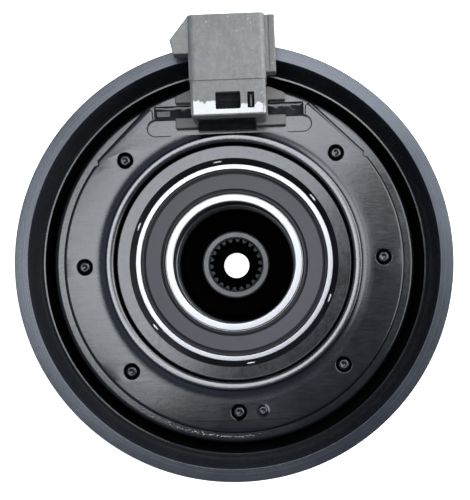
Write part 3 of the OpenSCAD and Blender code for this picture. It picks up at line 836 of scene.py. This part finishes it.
def coil_bobbin():
    front = bottom("coil_bobbin")
    flange = SHELL_Z - 3.5
    inner, outer = reach("coil_winding") - 11.4 - 2.4, reach("coil_bobbin")
    spool = lathe("spool", rounded([
        (inner, front, 0.3), (outer, front, 0.3), (outer, front + 1.5, 0.3), (inner + 1.3, front + 1.5, 0.2),
        (inner + 1.3, flange - 1.5, 0.2), (outer, flange - 1.5, 0.3), (outer, flange, 0.3),
        (inner, flange, 0.3),
    ]), 192)
    half = HOUSING_HALF - 0.5
    neck_low = (TOWER_X - half, SLOT_LOW + 0.3, flange - 1)
    neck = rounded_box("neck", neck_low, (TOWER_X + half, SLOT_HIGH - 0.3, WING_Z - 0.5), 0.3)
    tab_low = (-24.3, SLOT_LOW + 1.2, flange - 1)
    tab = rounded_box("tab", tab_low, (-19.5, SLOT_HIGH - 1.4, SHELL_Z - 0.6), 0.35)
    foot = prism("foot", bobbin_foot_outline(), SHELL_Z + 0.02, WING_Z, 0.3)
    place(join("bobbin_moulding", [spool, neck, tab, foot]), "stator", "bobbin_plastic", "coil_bobbin")


def close_grid(bm, rows, foot_z):
    """Faces a grid of vertices and makes it solid, with walls down to a flat foot."""
    for row, after in zip(rows, rows[1:]):
        for i in range(len(row) - 1):
            bm.faces.new((row[i], row[i + 1], after[i + 1], after[i]))
    rim = rows[0] + [r[-1] for r in rows[1:]] + rows[-1][-2::-1] + [r[0] for r in rows[-2:0:-1]]
    feet = [bm.verts.new((v.co.x, v.co.y, foot_z)) for v in rim]
    bridge(bm, rim, feet)
    bm.faces.new(feet)


def resin_surface(name, low, high, z_floor, z_top, seed):
    """A poured patch: a grid that slopes outwards a little, wets the walls and has a few waves."""
    draw = random.Random(seed)
    spans = [(0.5, 1.5), (0.4, 1.6), (0, 6.28), (0.01, 0.04)]
    waves = [tuple(draw.uniform(*span) for span in spans) for _ in range(6)]
    nx, ny = 60, 24
    bm = bmesh.new()
    rows = []
    for j in range(ny + 1):
        row = []
        for i in range(nx + 1):
            x = low[0] + (high[0] - low[0]) * i / nx
            y = low[1] + (high[1] - low[1]) * j / ny
            edge = min(x - low[0], high[0] - x, y - low[1], high[1] - y)
            lift = 0.35 * math.exp(-edge / 0.45)
            wave = sum(h * math.sin(kx * x + ky * y + p) for kx, ky, p, h in waves)
            slope = 0.15 * ((low[1] + high[1]) / 2 - y)
            row.append(bm.verts.new((x, y, z_top - 0.7 + lift + slope + wave * min(1, edge / 1.2))))
        rows.append(row)
    close_grid(bm, rows, z_floor)
    return from_bmesh(name, bm, 60)


def potting_resin():
    floor_z, top_z = SHELL_Z - 3.48, SHELL_Z - 0.1
    low_y, high_y = SLOT_LOW + 0.02, SLOT_HIGH - 0.02
    neck, half = HOUSING_HALF - 0.48, SLOT_HALF - 0.02
    front = bottom("potting_resin")
    parts = [
        resin_surface("resin_right", (TOWER_X + neck, low_y), (half, high_y), floor_z, top_z, 3),
        resin_surface("resin_left", (-half, low_y), (TOWER_X - neck, high_y), floor_z, top_z, 8),
        lathe("resin_ring", rounded([
            (44.0, front, 0.3), (56.6, front, 0.3), (56.6, front + 1.18, 0.2),
            (44.0, front + 1.18, 0.2)]), 192),
    ]
    fill = prism("resin_window", [
        (48.02, 32.05, 0), (53.48, 32.05, 0), (53.48, 34.2, 0.2), (50.9, 34.6, 1.5), (49.6, 35.2, 1.0),
        (48.02, 36.3, 0)],
        WINDOW[0] + 0.02 + TOWER_X, WINDOW[1] - 0.02 + TOWER_X, 0.05, SIDE_ON)
    # Painted shade: a black resin sheet in front of the tower's lower wall, which is only in shade there
    apron = prism("painted_shade_apron", [
        (43.6, SHELL_Z + 0.02, 0.2), (46.2, SHELL_Z + 0.02, 0), (46.2, 30, 0.2), (45.8, 30, 0.3),
        (45.3, 20, 1), (43.7, 17.2, 0.8)],
        -10.2, 9.2, 0.3, SIDE_ON)
    place(join("resin_fill_and_painted_shade", [*parts, fill, apron], 60), "stator", "resin_black", "potting_resin")


def connector_housing():
    half, high = HOUSING_HALF, HOUSING_Z
    body = prism("tower", [
        (46.0, WING_Z + 0.02, 0.4), (STEP_Y + 1, WING_Z + 0.02, 0.4), (STEP_Y + 1, high, 0.3),
        (52.5, high, 6.0), (46.0, high - 0.55, 0.6)], -half, half, 0.9, SIDE_ON, 6)
    wide = half + 0.3
    shroud = prism("shroud", [
        (-wide, 22.5, 1.6), (wide, 22.5, 1.6), (wide, high + 0.5, 2.2), (-wide, high + 0.5, 2.2)],
        -HOUSING_REACH, -STEP_Y, 0.25, END_ON, 6)
    rail = rounded_box("rail", (half - 1, STEP_Y + 2.4, 28), (half + 3.5, HOUSING_REACH - 0.2, 35.5), 0.45)
    end = HOUSING_REACH - 0.4
    ramp = prism("ramp", [
        (-half + 1, end, 0), (-half - 0.3, end, 0.4), (-half - 6.15, end - 7.3, 0.6),
        (-half - 5.15, end - 11.8, 0.4), (-half + 1, end - 11.9, 0)], 29.5, 37.5, 0.3)
    solid = combine("housing", body, [shroud, rail, ramp], "UNION")
    cuts = [
        rounded_box("socket", (-9.6, 62, 24.6), (9.6, HOUSING_REACH + 3, 36.2), 0.8),
        rounded_box("chamber", (-8, 48, WING_Z - 1), (8, 56.45, 24), 0.4),
        rounded_box("window", (WINDOW[0], 48, 32), (WINDOW[1], 53.5, high + 3), 0.5),
        rounded_box("diode_window", (DIODE_X - 1.15, 48.1, 33), (DIODE_X + 1.15, 53.2, high + 3), 0.35),
        rounded_box("rail_groove", (half + 1.2, STEP_Y, 35.1), (half + 1.7, HOUSING_REACH + 1, 37), 0.1),
    ]
    for x in (-4.6, 4.6):
        cuts.append(rounded_box("blade_slot", (x - 1.42, 54.95, 29.88), (x + 1.42, 64, 30.72), 0.1))
        cuts.append(rounded_box("leg_slot", (x - 1.42, 54.95, 23), (x + 1.42, 55.85, 30.3), 0.1))
    piece = combine("connector_moulding", solid, cuts, "DIFFERENCE", 30)
    slice_up(piece.data, (-half, 0, 0), (1, 0, 0), 25)
    piece.data.transform(Matrix.Translation((TOWER_X * MM, 0, 0)))
    place(piece, "stator", "housing_plastic", "connector_housing")


# ---- bearing ----


def race(sign, land):
    """The two grooves in a ring's land: sign 1 in the outer ring, -1 in the inner ring."""
    middle = 90 - 90 * sign
    points = []
    for z in (ROW_Z, -ROW_Z):
        half = math.degrees(math.acos((land - PITCH_R) * sign / GROOVE_R))
        points += arc(PITCH_R, z, GROOVE_R, middle + half, middle - half, 16)
    return points


def bearing_rings():
    """Sections of the inner and the outer ring."""
    step = BEARING_Z - 2.3
    front_end = [
        (BORE_R, -BEARING_Z, 0.2), (FACE_IN, -BEARING_Z, 0.15), (FACE_IN, -step, 0.2), (LAND_IN, -step, 0.2)]
    rear_end = [(r, -z, edge) for r, z, edge in reversed(front_end)]
    inner = rounded(front_end) + race(-1, LAND_IN)[::-1] + rounded(rear_end)
    outer = rounded([(BEARING_R, -BEARING_Z, 0.35), (BEARING_R, BEARING_Z, 0.35), (FACE_OUT, BEARING_Z, 0.2),
                     (FACE_OUT, step, 0.2), (LAND_OUT, step, 0.2)])
    outer += race(1, LAND_OUT)
    outer += rounded([(LAND_OUT, -step, 0.2), (FACE_OUT, -step, 0.2), (FACE_OUT, -BEARING_Z, 0.2)])
    return inner, outer


def seal_section():
    """Contact seal: bead in the outer ring, flat shield between two grooves, and a lip on the inner ring."""
    z = BEARING_Z
    bead, shield_out, shield_in, lip = FACE_OUT - 0.02, FACE_OUT - 1.65, FACE_IN + 1.95, FACE_IN + 0.4
    return rounded([
        (lip, z - 1.9, 0.1), (lip + 1.2, z - 2.1, 0.2), (bead, z - 2.1, 0.3), (bead, z - 0.7, 0.3),
        (bead - 0.9, z - 0.8, 0.25), (bead - 1.0, z - 1.5, 0.1), (shield_out + 0.15, z - 1.5, 0.1),
        (shield_out, z - 0.35, 0.25), (shield_in, z - 0.35, 0.25),
        (shield_in - 0.1, z - 1.4, 0.1), (shield_in - 0.5, z - 1.4, 0.1), (shield_in - 0.55, z - 0.75, 0.25),
        (lip + 0.45, z - 0.45, 0.35), (lip, z - 0.95, 0.3),
    ], 3)


def seals():
    section = seal_section()
    for name, node, side in (("rear_seal_ring", "rear_seal", 1), ("front_seal_ring", "front_seal", -1)):
        piece = lathe(name, [(r, side * z) for r, z in section])
        place(piece, "pulley", "seal_rubber", node)


# ---- pulley ----


def belt_pulley():
    pitch, depth, crest_flat = 3.56, 2.9, 0.75
    crest = RIM_R - 0.6
    run = depth * math.tan(math.radians(20))
    first = RIM_FRONT + 3.6
    inner = ROTOR_R + 0.02
    corners = [
        (inner, RIM_FRONT + 1, 0), (inner + 1, RIM_FRONT, 0.3), (RIM_R - 0.2, RIM_FRONT, 0.7),
        (RIM_R, first - 0.4, 0.4)]
    for i in range(7):
        z = first + i * pitch
        corners += [
            (crest, z + crest_flat / 2, 0.25), (crest - depth, z + crest_flat / 2 + run, 0.2),
            (crest - depth, z + pitch - crest_flat / 2 - run, 0.2), (crest, z + pitch - crest_flat / 2, 0.25),
        ]
    corners += [
        (RIM_R, first + 7 * pitch + 0.4, 0.4), (RIM_R, RIM_REAR, 0.25), (RIM_R - RIM_FACE, RIM_REAR, 0.3),
        (RIM_R - RIM_FACE - 0.5, RIM_REAR - 1.6, 0.3), (inner + 0.6, ROTOR_REAR + 0.6, 0.3),
        (inner, ROTOR_REAR, 0.1),
    ]
    place(lathe("pulley_rim", rounded(corners, 3), 360), "pulley", "pulley_grey", "belt_pulley")


def stake_marks():
    """Metal pushed over the bearing's outer ring by the staking punch: bright, torn lips."""
    draw = random.Random(11)
    bm = bmesh.new()
    for k in range(6):
        centre = 37.5 + 60 * k
        across, along = 8, 26
        grid = []
        for j in range(across + 1):
            row = []
            for i in range(along + 1):
                u, v = i / along * 2 - 1, j / across * 2 - 1
                bow = max(0, 1 - u * u) ** 0.5
                plateau = (1 - abs(u) ** 6) * (1 - abs(v) ** 4)
                r = BEARING_R + 0.75 + 0.15 * bow + v * (0.12 + 0.4 * bow) + draw.uniform(-0.05, 0.05)
                x, y = polar(r, centre + u * 3.3)
                z = BEARING_Z + 0.35 + (0.7 + draw.uniform(-0.03, 0.03)) * plateau
                row.append(bm.verts.new((x, y, z)))
            grid.append(row)
        close_grid(bm, grid, BEARING_Z + 0.03)
    place(from_bmesh("stake_lips", bm, 40), "pulley", "bearing_steel")


# ---- hub and armature ----


def hub_flange():
    """The spider: a lobe for each rivet of the hub, and a relief round each rivet of the armature."""
    lobe_r, disc_r, relief_r, hole_r = 9, 39, 7.2, 2.48
    outline = []
    holes = [arc(0, 0, 14.03, 0, 357, 119)]
    for k in range(3):
        a = SPRING_START + 120 * k
        far = a + SPRING_SPAN
        lobe = polar(SPRING_CIRCLE, a)
        side = Vector(polar(lobe_r, a - 90))
        foot = Vector(lobe) - Vector(polar(lobe_r, a))
        outline.append(tuple(foot + side))
        outline += arc(*lobe, lobe_r, a - 90, a + 90, 16)
        outline.append(tuple(foot - side))
        outline += [polar(disc_r, far - 22 + 2 * i) for i in range(6)]
        outline += arc(*polar(SPRING_CIRCLE, far), relief_r, far - 104, far - 256, 14)
        outline += [polar(disc_r, far + 12 + 3 * i) for i in range(15)]
        for centre in (lobe, polar(BUMPER_CIRCLE, a + BUMPER_OFFSET)):
            holes.append(arc(*centre, hole_r, 0, 345, 23))
    spider = slab("hub_spider", [outline, *holes], FLANGE_FRONT, FLANGE_REAR, 0.4)
    place(spider, "hub", "hub_steel", "hub_flange")


def trio(name, section, circle, start, body, slot, node):
    """Three like turned solids on a circle, as one piece."""
    bm = bmesh.new()
    for k in range(3):
        add_turned(bm, section, polar(circle, start + 120 * k))
    place(from_bmesh(name, bm), body, slot, node)


def rivet_head(z, height):
    """Section of a set head with a shallow dish, from its middle to its rim."""
    dish = [(0, 0), (1.2, 0.02), (1.35, 0.18), (2.9, 0.23), (3.7, 0.48), (4.15, height / 2 + 0.34)]
    return [(r, z - height + dz) for r, dz in dish] + [(4.2, z - 0.02)]


def domed_rivets():
    """Rivets with set heads, at both ends of the leaf springs."""
    shank = 2.44
    z, tail = FLANGE_FRONT, ARMATURE_FRONT
    section = rivet_head(z, 1.38)
    section += [(shank, z - 0.01), (shank, tail + 0.02), (4.0, tail + 0.04), (4.0, tail + 0.7)]
    section += [(3.6, tail + 1), (0, tail + 1.02)]
    trio("flange_rivets", section, SPRING_CIRCLE, SPRING_START, "hub", "rivet_steel", "hub_rivets")
    z, far, start = ARMATURE_FRONT - 0.79, ARMATURE_REAR, SPRING_START + SPRING_SPAN
    section = rivet_head(z, 1.28)
    section += [(shank, z), (shank, far - 1.6), (3.65, far - 0.35), (0, far - 0.3)]
    trio("plate_end_rivets", section, SPRING_CIRCLE, start, "armature", "rivet_steel", "armature_rivets")


def spring_flank(start, along, length, sign):
    """One long edge of a leaf spring, which is narrowest halfway."""
    side = Vector((-along.y, along.x)) * sign
    steps = 14
    points = []
    for i in range(1, steps):
        u = i / steps
        p = start + along * (2.6 + (length - 5.2) * u) + side * (4.6 + 0.6 * abs(2 * u - 1) ** 3)
        points.append((p.x, p.y))
    return points


def leaf_springs():
    """Flat strips with eyes, between the hub's rivet and the armature's."""
    thickness, eye_r, hole_r = 0.75, 5.8, 2.47
    z1 = ARMATURE_FRONT - 0.02
    z0 = z1 - thickness
    for k in range(3):
        a = SPRING_START + 120 * k
        start, end = Vector(polar(SPRING_CIRCLE, a)), Vector(polar(SPRING_CIRCLE, a + SPRING_SPAN))
        length = (end - start).length
        along = (end - start).normalized()
        angle = math.degrees(math.atan2(along.y, along.x))
        outline = arc(*start, eye_r, angle + 64, angle + 296, 20)
        outline += spring_flank(start, along, length, -1)
        outline += arc(*end, eye_r, angle - 116, angle + 116, 20)
        outline += spring_flank(start, along, length, 1)[::-1]
        eyes = [arc(*p, hole_r, 0, 345, 23) for p in (start, end)]
        strip = slab(f"spring_strip_{k + 1}", [outline, *eyes], z0, z1, 0.12)
        step = along * (length / 16)
        slice_up(strip.data, (start.x + step.x, start.y + step.y, 0), (step.x, step.y, 0), 15)
        strip.data.materials.clear()
        strip.data.materials.append(MATERIALS["spring_steel"])
        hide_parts(f"leaf_spring_{k + 1}")
        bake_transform(strip)


def stop_bumpers():
    """Rubber buttons pulled through the flange."""
    front = [(0, -1.18), (1.6, -1.15), (3.0, -1.0), (3.7, -0.5), (3.75, -0.03), (2.42, -0.01)]
    rear = [(2.42, 0.01), (4.4, 0.04), (4.48, 0.4), (4.3, 0.74), (0, 0.77)]
    section = [(r, FLANGE_FRONT + z) for r, z in front] + [(r, FLANGE_REAR + z) for r, z in rear]
    start = SPRING_START + BUMPER_OFFSET
    trio("bumper_buttons", section, BUMPER_CIRCLE, start, "hub", "bumper_rubber", "stop_bumpers")


# ---- studio ----

# Brightness of the soft boxes and of the light tent's walls and roof
KEY, SIDE, TENT_WALLS, TENT_ROOF = 8.6, 5.5, 0.35, 0.27
TENT_HEADING = 140.0


def soft_box(name, location, target, width, height, radiance, turn=0.0):
    """An area light of a given brightness, which the camera doesn't see. Without a target it shines down."""
    light = bpy.data.lights.new(name, "AREA")
    light.shape = "RECTANGLE"
    light.size, light.size_y = width, height
    light.energy = radiance * math.pi * width * height
    light.color = (0.96, 1.0, 1.05)
    obj = linked(name, light)
    obj.location = location
    if target:
        obj.rotation_mode = "QUATERNION"
        obj.rotation_quaternion = (Vector(target) - obj.location).to_track_quat("-Z", "Y")
    else:
        obj.rotation_euler = (0, 0, math.radians(turn))
    obj.visible_camera = False


def floor():
    """A large pale floor that glows a little, as a light table does."""
    bm = bmesh.new()
    bmesh.ops.create_grid(bm, x_segments=4, y_segments=4, size=4)
    mesh = bpy.data.meshes.new("floor")
    bm.to_mesh(mesh)
    bm.free()
    obj = linked("floor", mesh)
    obj.location.z = FLOOR_Z * MM
    n = Nodes("floor_white")
    n.finish(n.tint(n.noise(0.01), (0.8, 0.8, 0.8), (0.82, 0.82, 0.82)), n.spread(n.noise(0.02), 0.7, 0.8))
    n.shader.inputs["Emission Color"].default_value = (1, 1, 1, 1)
    n.shader.inputs["Emission Strength"].default_value = 0.9
    mesh.materials.append(n.material)


def world():
    """A light tent: bright walls on every side but the lower right, and a darker roof."""
    scene_world = bpy.data.worlds.new("studio")
    bpy.context.scene.world = scene_world
    scene_world.use_nodes = True
    tree = scene_world.node_tree
    tree.nodes.clear()

    def put(kind, *inputs, result=0, **settings):
        node = tree.nodes.new(kind)
        for key, value in settings.items():
            setattr(node, key, value)
        for socket, value in zip(node.inputs, inputs):
            if isinstance(value, (int, float, tuple)):
                socket.default_value = value
            else:
                tree.links.new(value, socket)
        return node.outputs[result] if node.outputs else None

    where = put("ShaderNodeTexCoord")
    height = put("ShaderNodeSeparateXYZ", where, result="Z")
    flat = put("ShaderNodeVectorMath", where, (1.0, 1.0, 0.0), operation="MULTIPLY")
    heading = put("ShaderNodeVectorMath", flat, operation="NORMALIZE")
    bright = (*polar(1, TENT_HEADING), 0)
    facing = put("ShaderNodeVectorMath", heading, bright, result="Value", operation="DOT_PRODUCT")
    soft = {"interpolation_type": "SMOOTHSTEP"}
    walls = put("ShaderNodeMapRange", facing, -0.85, -0.2, 0.0, 1.0, **soft)
    roof = put("ShaderNodeMapRange", height, 0.72, 0.95, 1.0, 0.0, **soft)
    lit = put("ShaderNodeMath", walls, roof, operation="MULTIPLY")
    glow = put("ShaderNodeMath", lit, TENT_WALLS, operation="MULTIPLY")
    strength = put("ShaderNodeMath", glow, TENT_ROOF, operation="ADD")
    put("ShaderNodeOutputWorld", put("ShaderNodeBackground", (0.78, 0.94, 1.3, 1), strength))


def camera():
    """Almost square on to the rear, from half a metre, a little off the axis and turned two degrees."""
    distance, lens = 500.0, 108.0
    lean_x, lean_y, roll = math.radians(1.5), math.radians(2.3), math.radians(2.0)
    off_x, off_y = 0.3, 4.1
    right = Vector((math.cos(roll), -math.sin(roll), 0))
    up = Vector((math.sin(roll), math.cos(roll), 0))
    forward = (Vector((0, 0, -1)) - right * math.tan(lean_x) + up * math.tan(lean_y)).normalized()
    right = forward.cross(up).normalized()
    up = right.cross(forward)
    data = bpy.data.cameras.new("camera")
    data.lens = lens
    data.sensor_width = 36
    data.clip_start, data.clip_end = 0.01, 50
    obj = linked("camera", data)
    obj.matrix_world = Matrix((
        (right.x, up.x, -forward.x, 0), (right.y, up.y, -forward.y, 0),
        (right.z, up.z, -forward.z, 0), (0, 0, 0, 1)))
    centre = Vector((0, 0, BEARING_Z))
    obj.location = (centre - forward * distance + right * off_x + up * off_y) * MM
    bpy.context.scene.camera = obj


def lights():
    soft_box("key", (-0.030, 0.073, 0.5), None, 0.15, 0.3, KEY, turn=-42.5)
    soft_box("right", (0.4, 0.14, 0.34), (0, 0, 0.02), 0.7, 0.42, SIDE)
    soft_box("upper_right", (0.168, 0.078, 0.5), None, 0.09, 0.2, KEY * 0.75, turn=25)


bpy.context.scene.view_settings.view_transform = "Standard"
carry_over()
coil_shell()
mounting_plate()
torn_edge()
plate_rivets()
coil_bobbin()
potting_resin()
connector_housing()
inner_section, outer_section = bearing_rings()
place(lathe("inner_ring", inner_section), "stator", "bearing_steel", "bearing_inner_ring")
place(lathe("outer_ring", outer_section), "pulley", "bearing_steel", "bearing_outer_ring")
seals()
belt_pulley()
stake_marks()
hub_flange()
domed_rivets()
leaf_springs()
stop_bumpers()
floor()
world()
camera()
lights()

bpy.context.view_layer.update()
import json
